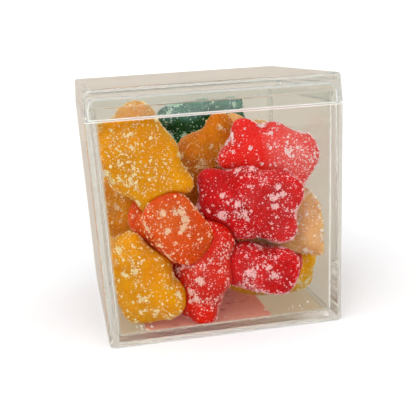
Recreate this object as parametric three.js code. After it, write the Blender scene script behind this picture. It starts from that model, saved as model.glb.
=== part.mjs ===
// Sugar-dusted gummy bears in a small clear favour box with a lift-off lid.
// Millimetres, +Z up. The origin is the middle of the box's underside, and -Y is its front.

import * as THREE from 'three';
import { mergeVertices } from 'three/addons/utils/BufferGeometryUtils.js';

// ---- Driving dimensions ------------------------------------------------------------------

const BOX_HEIGHT = 56.5;
const SEAM_HEIGHT = 49.9;
const SEAM_GAP = 0.2;
const SEAM_HALF = 28.0;
const BASE_HALF = 26.75;
const LID_TOP_HALF = 27.75;
const WALL = 2.0;
const FLOOR_TOP = 1.8;
const FOOT_RECESS = 0.5;
const FOOT_WIDTH = 2.2;
const CEILING = 54.5;
const LIP_THICKNESS = 0.85;
const LIP_TOP = 52.4;
const LIP_CLEARANCE = 0.2;
const LID_INNER_TOP_HALF = 26.4;
const EDGE_ROUND = 0.7;
const OUTER_CORNER = 1.2;
const INNER_CORNER = 0.8;
const CORNER_STEPS = 3;

const LABEL = { width: 29.5, depth: 46, thick: 0.2, corner: 1.5, offset: -3.2, top: 0.4 };

const BEAR_DETAIL = 4;
const TOUCH_GAP = 0.4;
const WALL_GAP = 0.2;
const PRESS_SHARPNESS = 2.2;
const NEIGHBOUR_REACH = 26;

// ---- Colours -----------------------------------------------------------------------------

const GUMMY = {
  yellow: 0xd79a0c,
  golden: 0xd89c1c,
  amber: 0xc07010,
  orange: 0xdd5a10,
  scarlet: 0xd42a12,
  crimson: 0xc40f22,
  rose: 0xe04850,
  green: 0x17601f,
  peach: 0xe0a868,
};

const CLEAR = new THREE.MeshStandardMaterial({
  color: 0xe9ece6, roughness: 0.05, metalness: 0, transparent: true, opacity: 0.3,
});
const PAPER = new THREE.MeshStandardMaterial({ color: 0xd29a9a, roughness: 0.8, metalness: 0 });

// ---- The favour box ----------------------------------------------------------------------

// The corner points of one square ring with rounded corners, counter-clockwise from above.
function roundedSquare(half, radius) {
  const points = [];
  for (let corner = 0; corner < 4; corner += 1) {
    const middle = (corner + 0.5) * (Math.PI / 2);
    const cx = Math.sign(Math.cos(middle)) * (half - radius);
    const cy = Math.sign(Math.sin(middle)) * (half - radius);
    for (let step = 0; step <= CORNER_STEPS; step += 1) {
      const angle = (corner + step / CORNER_STEPS) * (Math.PI / 2);
      points.push([cx + radius * Math.cos(angle), cy + radius * Math.sin(angle)]);
    }
  }
  return points;
}

// A closed shell from a walk of square rings: the walk starts at the middle of one flat face,
// runs round the wall's section and ends at the middle of another, so both ends are capped.
function squareLathe(rings) {
  const position = [];
  const index = [];
  const sides = 4 * (CORNER_STEPS + 1);
  for (const { half, radius, z } of rings) {
    for (const [x, y] of roundedSquare(half, radius)) position.push(x, y, z);
  }
  for (let ring = 0; ring + 1 < rings.length; ring += 1) {
    for (let side = 0; side < sides; side += 1) {
      const a = ring * sides + side;
      const b = ring * sides + (side + 1) % sides;
      index.push(a, b, b + sides, a, b + sides, a + sides);
    }
  }
  const last = (rings.length - 1) * sides;
  for (let side = 1; side + 1 < sides; side += 1) {
    index.push(0, side + 1, side);
    index.push(last, last + side, last + side + 1);
  }
  const geometry = new THREE.BufferGeometry();
  geometry.setAttribute('position', new THREE.Float32BufferAttribute(position, 3));
  geometry.setIndex(index);
  return geometry;
}

const outer = (half, z) => ({ half, radius: OUTER_CORNER, z });
const inner = (half, z) => ({ half, radius: INNER_CORNER, z });

// Half the body's outer width at a height: the moulded walls lean out by a degree or so.
const bodyHalf = (z) => BASE_HALF + ((SEAM_HALF - BASE_HALF) * z) / SEAM_HEIGHT;

function boxBody() {
  const shoulder = SEAM_HEIGHT - SEAM_GAP / 2;
  const foot = BASE_HALF - FOOT_WIDTH;
  const mouth = SEAM_HALF - WALL;
  return squareLathe([
    inner(foot, FOOT_RECESS),
    inner(foot, 0),
    outer(BASE_HALF - EDGE_ROUND / 2, 0),
    outer(bodyHalf(EDGE_ROUND), EDGE_ROUND),
    outer(bodyHalf(shoulder), shoulder),
    outer(mouth + LIP_THICKNESS, shoulder),
    outer(mouth + LIP_THICKNESS, LIP_TOP),
    inner(mouth, LIP_TOP),
    inner(mouth, shoulder),
    inner(bodyHalf(FLOOR_TOP) - WALL, FLOOR_TOP + EDGE_ROUND),
    inner(bodyHalf(FLOOR_TOP) - WALL - EDGE_ROUND, FLOOR_TOP),
  ]);
}

function boxLid() {
  const rim = SEAM_HEIGHT + SEAM_GAP / 2;
  const skirt = SEAM_HALF - WALL + LIP_THICKNESS + LIP_CLEARANCE;
  return squareLathe([
    inner(LID_INNER_TOP_HALF - EDGE_ROUND, CEILING),
    inner(LID_INNER_TOP_HALF, CEILING - EDGE_ROUND),
    inner(skirt, LIP_TOP + LIP_CLEARANCE),
    inner(skirt, rim),
    outer(SEAM_HALF, rim),
    outer(LID_TOP_HALF, BOX_HEIGHT - EDGE_ROUND),
    outer(LID_TOP_HALF - EDGE_ROUND / 3, BOX_HEIGHT - EDGE_ROUND / 3),
    outer(LID_TOP_HALF - EDGE_ROUND, BOX_HEIGHT),
  ]);
}

// The paper label under the floor, a little left of the middle.
function baseLabel() {
  const { width, depth, thick, corner } = LABEL;
  const outline = new THREE.Shape();
  const x = width / 2;
  const y = depth / 2;
  outline.moveTo(corner - x, -y);
  outline.lineTo(x - corner, -y);
  outline.absarc(x - corner, corner - y, corner, -Math.PI / 2, 0);
  outline.lineTo(x, y - corner);
  outline.absarc(x - corner, y - corner, corner, 0, Math.PI / 2);
  outline.lineTo(corner - x, y);
  outline.absarc(corner - x, y - corner, corner, Math.PI / 2, Math.PI);
  outline.lineTo(-x, corner - y);
  outline.absarc(corner - x, corner - y, corner, Math.PI, 1.5 * Math.PI);
  return new THREE.ExtrudeGeometry(outline, { depth: thick, bevelEnabled: false, curveSegments: 3 });
}

// ---- One gummy bear ----------------------------------------------------------------------

// A bear is a soft union of ellipsoids, each [centre, radii]. It stands along Z, its belly
// faces -Y and its back is cut flat, as the mould leaves it.
const TORSO = [[[0, 0.6, -2.6], [6.6, 4.8, 6.9]], [[0, -1.8, -3], [4.8, 3.8, 4.4]]];
const HEAD = [[[0, 0.2, 5.9], [5.5, 4.5, 4.5]], [[0, -3.5, 5.2], [2.6, 1.9, 2]]];
const LIMBS = [
  [[3.9, 0.2, 9.2], [2.2, 2.1, 2.1]],
  [[5, -0.4, 1.5], [2.7, 3.4, 3]],
  [[3.9, -3.7, 0.6], [2.4, 2, 2.1]],
  [[4.1, -0.6, -6.7], [3.3, 3.9, 3.5]],
  [[3.9, -3.7, -7.3], [2.7, 2.2, 2.8]],
];
const BACK_PLANE = 4.3;
const LOBE_BLEND = 1;
const BACK_BLEND = 1.4;
const UNEVENNESS = 0.07;

// The rays that find the skin start on a short spine and aim at this ellipsoid.
const SPINE_HALF = 6.5;
const MIDDLE = new THREE.Vector3(0, -0.8, -0.8);
const REACH = new THREE.Vector3(6.2, 5.2, 11.2);
const RAY_STEP = 0.5;
const RAY_LENGTH = 16;
const BISECTIONS = 16;

const mirrored = ([[x, y, z], radii], side) => [[side * x, y, z], radii];
const LOBES = [
  ...TORSO,
  ...HEAD,
  ...LIMBS.map((lobe) => mirrored(lobe, -1)),
  ...LIMBS.map((lobe) => mirrored(lobe, 1)),
];

const smoothMax = (a, b, sharpness) => {
  const top = Math.max(a, b);
  return top + Math.log1p(Math.exp(-sharpness * Math.abs(a - b))) / sharpness;
};

class Bear {
  constructor(number, { colour, at, turn, size }) {
    const [roll, pitch, face] = turn.map(THREE.MathUtils.degToRad);
    this.name = `bear_${String(number + 1).padStart(2, '0')}_${colour}`;
    this.colour = colour;
    this.size = size;
    this.middle = new THREE.Vector3(...at);
    this.pose = new THREE.Matrix4().compose(
      this.middle,
      new THREE.Quaternion().setFromEuler(new THREE.Euler(pitch, roll, face, 'YXZ')),
      new THREE.Vector3(size, size, size),
    );
    this.unpose = this.pose.clone().invert();
    this.lobes = LOBES.map(([centre, radii], k) => {
      const swell = 1 + UNEVENNESS * Math.sin(2.4 * number + 1.7 * k);
      return { centre, radii: radii.map((r) => r * swell), least: Math.min(...radii) * swell };
    });
  }

  // Roughly the distance from the skin in millimetres, negative inside.
  field(point) {
    const p = point.clone().applyMatrix4(this.unpose);
    let sum = 0;
    for (const { centre, radii, least } of this.lobes) {
      const q = Math.hypot(
        (p.x - centre[0]) / radii[0],
        (p.y - centre[1]) / radii[1],
        (p.z - centre[2]) / radii[2],
      );
      sum += Math.exp(-LOBE_BLEND * (q - 1) * least);
    }
    return smoothMax(-Math.log(sum) / LOBE_BLEND, p.y - BACK_PLANE, BACK_BLEND) * this.size;
  }

  // The same, pressed against the walls and against each neighbour: two bears that would
  // share a space meet half way.
  pressedField(point, neighbours) {
    const own = this.field(point);
    let field = own;
    for (const other of neighbours) {
      field = smoothMax(field, (own - other.field(point) + TOUCH_GAP) / 2, PRESS_SHARPNESS);
    }
    for (const wall of wallFields(point)) field = smoothMax(field, wall, PRESS_SHARPNESS);
    return field;
  }

  geometry(pile) {
    const near = (other) => other !== this && other.middle.distanceTo(this.middle) < NEIGHBOUR_REACH;
    const neighbours = pile.filter(near);
    const sphere = new THREE.IcosahedronGeometry(1, BEAR_DETAIL);
    sphere.deleteAttribute('normal');
    sphere.deleteAttribute('uv');
    const skin = mergeVertices(sphere);
    const vertices = skin.attributes.position;
    for (let i = 0; i < vertices.count; i += 1) {
      const aim = new THREE.Vector3().fromBufferAttribute(vertices, i);
      const start = MIDDLE.clone().add(new THREE.Vector3(0, 0, SPINE_HALF * aim.z));
      const end = MIDDLE.clone().add(aim.multiply(REACH));
      start.applyMatrix4(this.pose);
      end.applyMatrix4(this.pose);
      const point = this.skinPoint(start, end.sub(start).normalize(), neighbours);
      vertices.setXYZ(i, point.x, point.y, point.z);
    }
    return skin;
  }

  // The first point along a ray at which the pressed bear ends.
  skinPoint(start, direction, neighbours) {
    const at = (distance) => start.clone().addScaledVector(direction, distance);
    const outside = (distance) => this.pressedField(at(distance), neighbours) > 0;
    let low = 0;
    while (low < RAY_LENGTH && !outside(low + RAY_STEP)) low += RAY_STEP;
    let high = low + RAY_STEP;
    for (let i = 0; i < BISECTIONS; i += 1) {
      const middle = (low + high) / 2;
      if (outside(middle)) high = middle;
      else low = middle;
    }
    return at(low);
  }
}

// How far a point is past each inner wall and the floor of the box.
function wallFields(point) {
  const half = bodyHalf(point.z) - WALL - WALL_GAP;
  return [
    point.x - half,
    -point.x - half,
    point.y - half,
    -point.y - half,
    FLOOR_TOP + WALL_GAP - point.z,
  ];
}

// ---- The pile ----------------------------------------------------------------------------

// turn is [roll, pitch, face] in degrees. face turns a bear about its own length, pitch tips
// its head towards the front, and roll tips it clockwise as seen from the front.
const PILE = [
  // against the front wall, top to bottom
  { colour: 'yellow', at: [-16.3, -21, 40.4], turn: [148, 0, 184], size: 1.06 },
  { colour: 'orange', at: [-11, -16.6, 24.2], turn: [-124, -66, 0], size: 1.12 },
  { colour: 'yellow', at: [-18.8, -18.6, 12.2], turn: [-26, 0, 140], size: 1.06 },
  { colour: 'scarlet', at: [-5, -17.2, 13], turn: [184, 4, -108], size: 1.12 },
  { colour: 'crimson', at: [7.8, -16, 11.2], turn: [-78, -24, 100], size: 1.1 },
  { colour: 'crimson', at: [7.8, -19, 28.2], turn: [-80, -8, -8], size: 1.06 },
  { colour: 'rose', at: [14, -15.8, 37.4], turn: [-64, 6, 165], size: 1.02 },
  // showing behind them
  { colour: 'green', at: [4, 13, 42.4], turn: [77, 0, 175], size: 1.04 },
  { colour: 'amber', at: [1.2, -7, 35.2], turn: [38, 10, 190], size: 1.12 },
  { colour: 'amber', at: [-18.2, -11.2, 28.2], turn: [10, 10, 150], size: 1.04 },
  { colour: 'peach', at: [18.6, -12.2, 21.6], turn: [104, 34, 165], size: 1.06 },
  { colour: 'golden', at: [16.4, -6.4, 7.4], turn: [80, 25, 40], size: 1.04 },
  { colour: 'peach', at: [15.4, 1.5, 35.9], turn: [-55, 5, 30], size: 1.02 },
  { colour: 'amber', at: [-11, -6, 10.5], turn: [-50, 10, 20], size: 1 },
  // the back of the pile
  { colour: 'scarlet', at: [-16, 9.5, 7.4], turn: [10, 88, 0], size: 1.04 },
  { colour: 'green', at: [-3.4, 14.5, 9.4], turn: [10, -72, 80], size: 1.04 },
  { colour: 'yellow', at: [11.5, 16, 8], turn: [95, 10, 170], size: 1.06 },
  { colour: 'orange', at: [19.6, 8.5, 20], turn: [0, 10, -80], size: 1.02 },
  { colour: 'yellow', at: [-17, 14, 20.8], turn: [-10, -50, 40], size: 1.04 },
  { colour: 'crimson', at: [-3.5, 5, 22.5], turn: [70, 20, 0], size: 1.06 },
  { colour: 'peach', at: [5, 18.5, 22.5], turn: [-80, 5, 185], size: 1.06 },
  { colour: 'scarlet', at: [16.5, 18, 31.5], turn: [-30, 0, 150], size: 1.04 },
  { colour: 'orange', at: [-14.5, 8.5, 39], turn: [15, -65, 30], size: 1.02 },
  { colour: 'amber', at: [-6, 19, 34.8], turn: [62, 0, 180], size: 1.02 },
  { colour: 'golden', at: [4.5, 9, 31.5], turn: [100, -20, 60], size: 1 },
];

// ---- Assembly ----------------------------------------------------------------------------

const gummies = new THREE.Group();

function add(name, geometry, material) {
  const mesh = new THREE.Mesh(geometry, material);
  mesh.name = name;
  gummies.add(mesh);
  return mesh;
}

add('box_body', boxBody(), CLEAR);
add('lid', boxLid(), CLEAR);
const label = add('base_label', baseLabel(), PAPER);
label.position.set(LABEL.offset, 0, LABEL.top - LABEL.thick);

const bears = PILE.map((entry, number) => new Bear(number, entry));
for (const bear of bears) {
  const gel = new THREE.MeshStandardMaterial({
    color: GUMMY[bear.colour], roughness: 0.45, metalness: 0,
  });
  add(bear.name, bear.geometry(bears), gel);
}

export default gummies;
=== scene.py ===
"""Sugar-dusted gummy bears in a small clear favour box with a lift-off lid.

The sizes below are millimetres and the meshes metres, +Z up. The origin is the middle of the
box's underside and -Y is its front.
"""

import logging
import math
from dataclasses import dataclass, field
from enum import Enum, IntEnum
from typing import Any, Iterable, Mapping, Sequence, Union

import bmesh
import bpy
import numpy as np
from mathutils import Matrix, Vector, noise


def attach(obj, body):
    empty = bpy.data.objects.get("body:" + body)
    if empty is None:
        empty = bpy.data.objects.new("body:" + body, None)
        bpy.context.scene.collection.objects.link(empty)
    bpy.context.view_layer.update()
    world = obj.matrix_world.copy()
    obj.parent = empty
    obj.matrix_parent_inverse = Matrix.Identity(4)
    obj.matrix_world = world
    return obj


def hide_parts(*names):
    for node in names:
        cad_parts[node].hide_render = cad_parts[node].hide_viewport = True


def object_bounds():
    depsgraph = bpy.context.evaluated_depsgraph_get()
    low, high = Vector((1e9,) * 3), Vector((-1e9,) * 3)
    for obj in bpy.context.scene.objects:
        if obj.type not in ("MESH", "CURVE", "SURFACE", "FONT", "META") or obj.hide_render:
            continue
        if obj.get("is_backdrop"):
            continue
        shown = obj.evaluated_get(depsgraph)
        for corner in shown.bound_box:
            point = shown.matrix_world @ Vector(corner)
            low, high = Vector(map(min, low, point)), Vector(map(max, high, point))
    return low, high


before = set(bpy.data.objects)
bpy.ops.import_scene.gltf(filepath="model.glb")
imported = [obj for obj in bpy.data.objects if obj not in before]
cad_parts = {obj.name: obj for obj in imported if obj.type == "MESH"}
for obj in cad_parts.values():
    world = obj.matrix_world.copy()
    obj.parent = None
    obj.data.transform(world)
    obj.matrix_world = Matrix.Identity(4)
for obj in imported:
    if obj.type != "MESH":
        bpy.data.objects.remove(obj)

LOG = logging.getLogger("favour_box")
MM = 0.001
BODY = "root"
CAD_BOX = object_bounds()
NEXT_TO_NOTHING = 1e-30

Array = np.ndarray
Triple = tuple[float, float, float]
Lobe = tuple[Triple, Triple]
Height = Union[float, Array]


# ---- Node trees --------------------------------------------------------------------------


class Signal:
    """One output socket of a node tree, which takes part in sums as a number does."""

    def __init__(self, graph: "Graph", socket: bpy.types.NodeSocket) -> None:
        """Wraps a socket of a graph."""
        self.graph = graph
        self.socket = socket

    def maths(self, operation: str, *values: "Level", clamp: bool = False) -> "Signal":
        """Adds one Math node.

        Args:
            operation: Blender's name of the operation.
            values: The node's inputs, in order.
            clamp: Whether the result is kept between 0 and 1.

        Returns:
            The node's result.
        """
        settings = {"operation": operation, "use_clamp": clamp}
        return self.graph.node("ShaderNodeMath", settings, dict(enumerate(values)))

    def __add__(self, other: "Level") -> "Signal":
        """This plus the other."""
        return self.maths("ADD", self, other)

    def __radd__(self, other: "Level") -> "Signal":
        """The other plus this."""
        return self.maths("ADD", other, self)

    def __sub__(self, other: "Level") -> "Signal":
        """This less the other."""
        return self.maths("SUBTRACT", self, other)

    def __rsub__(self, other: "Level") -> "Signal":
        """The other less this."""
        return self.maths("SUBTRACT", other, self)

    def __mul__(self, other: "Level") -> "Signal":
        """This times the other."""
        return self.maths("MULTIPLY", self, other)

    def __rmul__(self, other: "Level") -> "Signal":
        """The other times this."""
        return self.maths("MULTIPLY", other, self)

    def __pow__(self, other: "Level") -> "Signal":
        """This raised to the other."""
        return self.maths("POWER", self, other)

    def clamped(self) -> "Signal":
        """This, kept between 0 and 1."""
        return self.maths("ADD", self, 0.0, clamp=True)

    def between(self, low: float, high: float) -> "Signal":
        """A smooth step: 0 where this is below low and 1 where it is above high."""
        settings = {"interpolation_type": "SMOOTHSTEP"}
        return self.graph.node("ShaderNodeMapRange", settings, {0: self, 1: low, 2: high})


Level = Union[Signal, float]


class Graph:
    """A node tree that is built one node at a time."""

    def __init__(self, tree: bpy.types.NodeTree) -> None:
        """Wraps a node tree."""
        self.tree = tree

    def node(
        self,
        kind: str,
        settings: Mapping[str, Any] | None = None,
        inputs: Mapping[int | str, Any] | None = None,
        output: int | str = 0,
    ) -> Signal:
        """Adds a node.

        Args:
            kind: The node's type.
            settings: The node's own properties, set before its inputs.
            inputs: A value or a link for each named or numbered input.
            output: The output that the result stands for.

        Returns:
            That output.
        """
        made = self.tree.nodes.new(kind)
        for name, value in (settings or {}).items():
            setattr(made, name, value)
        for name, value in (inputs or {}).items():
            self.feed(made.inputs[name], value)
        return Signal(self, made.outputs[output])

    def feed(self, socket: bpy.types.NodeSocket, value: Any) -> None:
        """Links a signal to a socket, or sets the socket's own value.

        Args:
            socket: The input that is fed.
            value: The signal, number, colour, name or material that it gets.
        """
        if isinstance(value, Signal):
            self.tree.links.new(value.socket, socket)
        else:
            socket.default_value = value

    def blend(self, factor: Level, low: Any, high: Any) -> Signal:
        """Mixes two colours."""
        return self.node("ShaderNodeMix", {"data_type": "RGBA"}, {0: factor, 6: low, 7: high}, 2)


class Recipe(Graph):
    """A material made of nodes, round one Principled BSDF.

    Crumbs grow from nothing to their largest over CRUMB_LUCK, the share that is wanted less
    a place's own luck. CRUMB_REACH is the largest one's radius and CRUMB_EDGE where a crumb
    fades out past its rim, both as shares of the crumbs' spacing.
    """

    CRUMB_LUCK = (-0.05, 0.5)
    CRUMB_REACH = 0.42
    CRUMB_EDGE = (-0.02, 0.10)

    def __init__(self, name: str) -> None:
        """Starts a material.

        Args:
            name: The material's name.
        """
        self.material = bpy.data.materials.new(name)
        self.material.use_nodes = True
        super().__init__(self.material.node_tree)
        self.shader = self.tree.nodes["Principled BSDF"]
        self.place = self.node("ShaderNodeTexCoord", output="Object")

    def dress(self, **levels: Any) -> bpy.types.Material:
        """Sets the shader's sockets.

        Args:
            levels: A value or a signal for each socket, its name in lower case with
                underscores.

        Returns:
            The material.
        """
        sockets = {item.name.lower().replace(" ", "_"): item for item in self.shader.inputs}
        for name, value in levels.items():
            self.feed(sockets[name], value)
        return self.material

    def clouds(self, size_mm: float, detail: float, rough: float = 0.5) -> Signal:
        """Soft noise whose blots are about that many millimetres apart."""
        inputs = {"Vector": self.place, "Scale": 1 / (size_mm * MM), "Detail": detail, "Roughness": rough}
        return self.node("ShaderNodeTexNoise", {"noise_dimensions": "3D"}, inputs)

    def cells(self, size_mm: float, output: str = "Distance") -> Signal:
        """How far off the nearest of many scattered points is, or another output about it."""
        inputs = {"Vector": self.place, "Scale": 1 / (size_mm * MM)}
        return self.node("ShaderNodeTexVoronoi", {"feature": "F1"}, inputs, output)

    def crumbs(self, size_mm: float, share: Level) -> Signal:
        """Small round crumbs of varied size.

        Args:
            size_mm: About how far apart the places for crumbs are.
            share: The share of those places that hold one.

        Returns:
            1 inside a crumb and 0 outside.
        """
        spot = self.cells(size_mm, "Position")
        luck = self.node("ShaderNodeTexWhiteNoise", {"noise_dimensions": "3D"}, {"Vector": spot})
        reach = (share - luck).between(*self.CRUMB_LUCK) * self.CRUMB_REACH
        return (reach - self.cells(size_mm)).between(*self.CRUMB_EDGE)

    def painted(self, name: str) -> Signal:
        """A number that the mesh carries on its points."""
        return self.node("ShaderNodeAttribute", {"attribute_name": name}, output="Fac")

    def bump(self, height: Signal, depth_mm: float) -> Signal:
        """A normal that follows a height between 0 and 1."""
        return self.node("ShaderNodeBump", None, {"Height": height, "Distance": depth_mm * MM})


def opaque(colour: Triple) -> tuple[float, float, float, float]:
    """A colour with full alpha."""
    return (*colour, 1.0)


# ---- Finishes ----------------------------------------------------------------------------


class Flavour(Enum):
    """The gummies' colours, each with the word that its nodes are named by."""

    YELLOW = "yellow"
    GOLDEN = "golden"
    AMBER = "amber"
    ORANGE = "orange"
    SCARLET = "scarlet"
    CRIMSON = "crimson"
    ROSE = "rose"
    GREEN = "green"
    PEACH = "peach"


@dataclass(frozen=True)
class Blots:
    """Soft blots in a material: their size, how fine they go, and where they fade in."""

    size_mm: float
    detail: float
    low: float
    high: float
    rough: float = 0.5

    def on(self, recipe: Recipe) -> Signal:
        """The blots, 1 inside and 0 between them."""
        return recipe.clouds(self.size_mm, self.detail, self.rough).between(self.low, self.high)


@dataclass(frozen=True)
class Cover:
    """The share of the gel that something covers: anywhere, and more with sugar and bloom."""

    anywhere: float
    with_sugar: float
    with_bloom: float

    def over(self, sugar: Signal, bloom: Signal) -> Signal:
        """The share for those amounts of sugar and bloom."""
        return self.anywhere + sugar * self.with_sugar + bloom * self.with_bloom


@dataclass(frozen=True)
class Gel:
    """Soft fruit gel, bitten into by its sugar.

    Its colour runs from deep to full in clouds and in a fine curd. A film lies over it, of
    bloom (haze), of sugar melted into the skin (veil) and of crumbs, and has the frost's colour.
    It also gives off a faint painted glow in its body's colour, which lifts its shaded creases.
    """

    deep: Triple
    full: Triple
    frost: Triple
    glow: Triple
    glow_depth_mm: float = 5.0
    haze: float = 0.24
    veil: float = 1.0
    clouds: Blots = Blots(4.5, 1.0, 0.3, 0.7)
    curd: Blots = Blots(0.55, 1.0, 0.36, 0.64)
    curd_share: float = 0.45
    melt: Blots = Blots(0.42, 2.0, 0.42, 0.70, rough=0.6)
    melt_cover: Cover = Cover(0.07, 0.20, 0.26)
    crumb_mm: float = 0.34
    crumb_cover: Cover = Cover(0.10, 0.5, 0.25)
    crumb_white: float = 0.45
    melt_relief: float = 0.35
    curd_relief: float = 0.25
    crumb_relief: float = 0.4
    relief_mm: float = 0.26
    roughness: float = 0.34
    film_roughness: float = 0.5
    ior: float = 1.42
    shine: float = 0.14
    # strength of the painted glow, which lightens the gel's shaded creases
    painted_glow: float = 0.06

    def material(self, name: str) -> bpy.types.Material:
        """Mixes the gel.

        Args:
            name: The material's name.

        Returns:
            A material for a mesh that is painted with its sugar and bloom.
        """
        recipe = Recipe(name)
        sugar = recipe.painted("sugar")
        bloom = recipe.painted("bloom")
        clouds, curd, melt = (blots.on(recipe) for blots in (self.clouds, self.curd, self.melt))
        crumbs = recipe.crumbs(self.crumb_mm, self.crumb_cover.over(sugar, bloom))
        veil = bloom * self.haze + melt * self.melt_cover.over(sugar, bloom) * self.veil
        film = (veil + crumbs * self.crumb_white).clamped()
        depth = clouds * (1 - self.curd_share) + curd * self.curd_share
        body = recipe.blend(depth, opaque(self.deep), opaque(self.full))
        height = melt * self.melt_relief + curd * self.curd_relief + crumbs * self.crumb_relief
        return recipe.dress(
            base_color=recipe.blend(film, body, opaque(self.frost)),
            roughness=(self.roughness + film * self.film_roughness).clamped(),
            normal=recipe.bump(height, self.relief_mm),
            ior=self.ior,
            specular_ior_level=self.shine,
            # painted glow: the body's colour shines faintly on its own, lifting the shade between bears
            emission_color=body,
            emission_strength=self.painted_glow,
            subsurface_weight=1.0,
            subsurface_radius=self.glow,
            subsurface_scale=self.glow_depth_mm * MM,
        )


@dataclass(frozen=True)
class Sugar:
    """Grains of sugar, some clear and some milky, which take on some of the gel's colour."""

    colour: Triple
    clear_share: float = 0.85
    milk: Blots = Blots(0.5, 0.0, 0.3, 0.7)
    roughness: float = 0.3
    milk_roughness: float = 0.2
    ior: float = 1.5
    glow: float = 0.3
    glow_depth_mm: float = 0.3

    def material(self, name: str) -> bpy.types.Material:
        """Mixes the sugar.

        Args:
            name: The material's name.

        Returns:
            A material for grains.
        """
        recipe = Recipe(name)
        milky = self.milk.on(recipe)
        clear = tuple(self.clear_share * part for part in self.colour)
        return recipe.dress(
            base_color=recipe.blend(milky, opaque(clear), opaque(self.colour)),
            roughness=(self.roughness + milky * self.milk_roughness).clamped(),
            ior=self.ior,
            subsurface_weight=self.glow,
            subsurface_radius=(1.0, 1.0, 1.0),
            subsurface_scale=self.glow_depth_mm * MM,
        )


@dataclass(frozen=True)
class ClearPlastic:
    """Moulded clear plastic."""

    tint: Triple
    ior: float
    roughness: float
    clearness: float

    def material(self, name: str) -> bpy.types.Material:
        """The plastic's material."""
        return Recipe(name).dress(
            base_color=opaque(self.tint),
            roughness=self.roughness,
            ior=self.ior,
            transmission_weight=self.clearness,
        )


@dataclass(frozen=True)
class LabelPaper:
    """Pale pink paper with a few soft darker blots, and a painted glow that stands in for the light
    reaching it through the box.
    """

    colour: Triple = (0.90, 0.62, 0.64)
    blot_colour: Triple = (0.50, 0.16, 0.18)
    # colour of the painted glow, in place of the light that reaches the label under the box
    painted_glow_colour: Triple = (0.22, 0.075, 0.085)
    dark_blots: Blots = Blots(3.4, 2.0, 0.6, 0.7)
    blot_depth: float = 0.8
    fibre_mm: float = 0.35
    fibre_detail: float = 3.0
    fibre_share: float = 0.3
    fibre_gain: float = 1.25
    relief_mm: float = 0.02
    roughness: float = 0.82

    def material(self, name: str) -> bpy.types.Material:
        """Makes the paper.

        Args:
            name: The material's name.

        Returns:
            A material with fibres and darker blots.
        """
        recipe = Recipe(name)
        fibres = recipe.clouds(self.fibre_mm, self.fibre_detail)
        # darker blots, scattered at random over the paper
        blotted = self.dark_blots.on(recipe) * self.blot_depth
        with_blots = recipe.blend(blotted, opaque(self.colour), opaque(self.blot_colour))
        pale = opaque(tuple(min(1.0, self.fibre_gain * part) for part in self.colour))
        return recipe.dress(
            base_color=recipe.blend(fibres * self.fibre_share, with_blots, pale),
            # painted glow: the paper shines faintly on its own
            emission_color=opaque(self.painted_glow_colour),
            emission_strength=1.0,
            roughness=self.roughness,
            normal=recipe.bump(fibres, self.relief_mm),
        )


@dataclass(frozen=True)
class FloorPaint:
    """Matt pale paint for the studio's floor."""

    colour: Triple = (0.88, 0.88, 0.88)
    roughness: float = 0.9

    def material(self, name: str) -> bpy.types.Material:
        """The floor's material."""
        return Recipe(name).dress(base_color=opaque(self.colour), roughness=self.roughness)


@dataclass(frozen=True)
class GreyCard:
    """Card without any shine, which gives off a little light of its own."""

    colour: Triple = (0.20, 0.175, 0.15)
    light: Triple = (0.43, 0.385, 0.335)

    def material(self, name: str) -> bpy.types.Material:
        """The card's material."""
        return Recipe(name).dress(
            base_color=opaque(self.colour),
            roughness=1.0,
            specular_ior_level=0.0,
            emission_color=opaque(self.light),
            emission_strength=1.0,
        )


# each gel's deep and full colour, its frost's, and how far red, green and blue glow through it
GELS = {
    Flavour.YELLOW: Gel(
        (0.64, 0.225, 0.0), (0.80, 0.335, 0.0), (0.86, 0.48, 0.015), (1.0, 0.42, 0.02)
    ),
    Flavour.GOLDEN: Gel(
        (0.72, 0.32, 0.001), (0.90, 0.46, 0.002), (0.90, 0.54, 0.02), (1.0, 0.45, 0.04)
    ),
    Flavour.AMBER: Gel(
        (0.43, 0.10, 0.001), (0.68, 0.21, 0.001), (0.82, 0.40, 0.015), (1.0, 0.34, 0.02)
    ),
    Flavour.ORANGE: Gel(
        (0.54, 0.038, 0.001), (0.72, 0.07, 0.001), (0.88, 0.20, 0.03), (1.0, 0.20, 0.02), haze=0.4
    ),
    Flavour.SCARLET: Gel(
        (0.52, 0.003, 0.001), (0.74, 0.01, 0.002), (0.88, 0.12, 0.08), (1.0, 0.09, 0.03)
    ),
    Flavour.CRIMSON: Gel(
        (0.40, 0.001, 0.002), (0.67, 0.002, 0.006), (0.86, 0.09, 0.09), (1.0, 0.07, 0.05)
    ),
    Flavour.ROSE: Gel(
        (0.74, 0.005, 0.002), (0.78, 0.02, 0.012), (0.92, 0.37, 0.34), (1.0, 0.12, 0.09)
    ),
    Flavour.GREEN: Gel(
        (0.001, 0.022, 0.001), (0.003, 0.06, 0.003), (0.15, 0.36, 0.31), (0.2, 1.0, 0.2),
        haze=0.9, veil=0.2
    ),
    Flavour.PEACH: Gel(
        (0.62, 0.30, 0.09), (0.75, 0.42, 0.16), (0.88, 0.68, 0.46), (1.0, 0.52, 0.22)
    ),
}

SUGARS = {
    Flavour.YELLOW: Sugar((0.97, 0.76, 0.40)),
    Flavour.GOLDEN: Sugar((0.97, 0.77, 0.40)),
    Flavour.AMBER: Sugar((0.90, 0.60, 0.28)),
    Flavour.ORANGE: Sugar((0.98, 0.60, 0.36)),
    Flavour.SCARLET: Sugar((0.98, 0.56, 0.49)),
    Flavour.CRIMSON: Sugar((0.98, 0.53, 0.53)),
    Flavour.ROSE: Sugar((0.98, 0.74, 0.74)),
    Flavour.GREEN: Sugar((0.52, 0.72, 0.56)),
    Flavour.PEACH: Sugar((0.96, 0.84, 0.70)),
}
LOOSE_SUGAR = Sugar((0.97, 0.94, 0.90))


# ---- Meshes ------------------------------------------------------------------------------


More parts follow.
